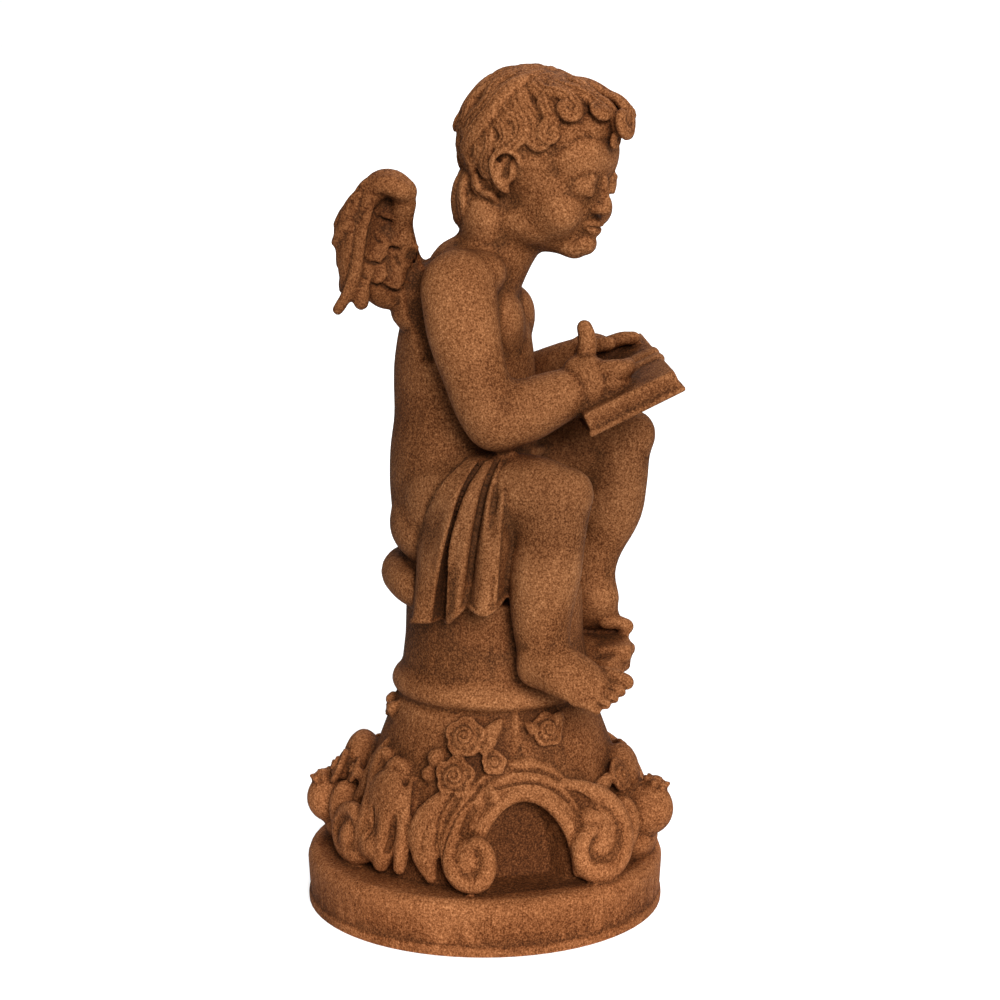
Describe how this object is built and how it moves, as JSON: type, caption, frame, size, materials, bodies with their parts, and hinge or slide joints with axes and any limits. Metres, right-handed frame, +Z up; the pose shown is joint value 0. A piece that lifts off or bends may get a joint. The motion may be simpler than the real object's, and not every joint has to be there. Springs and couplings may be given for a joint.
{
  "type": "garden statue",
  "caption": "Seated winged child reading an open book on a scrolled pedestal with a round base, cast in one piece.",
  "frame": {"origin": "centre of the underside of the round base", "axes": "+Z up along the pedestal, -Y the way the figure faces, +X toward its left hand"},
  "size_m": [0.2367, 0.2545, 0.5484],
  "materials": {
    "rusted_iron": "rust-brown grained surface with paler worn highlights"
  },
  "bodies": {
    "root": {"angel_statue": "rusted_iron"}
  },
  "joints": []
}
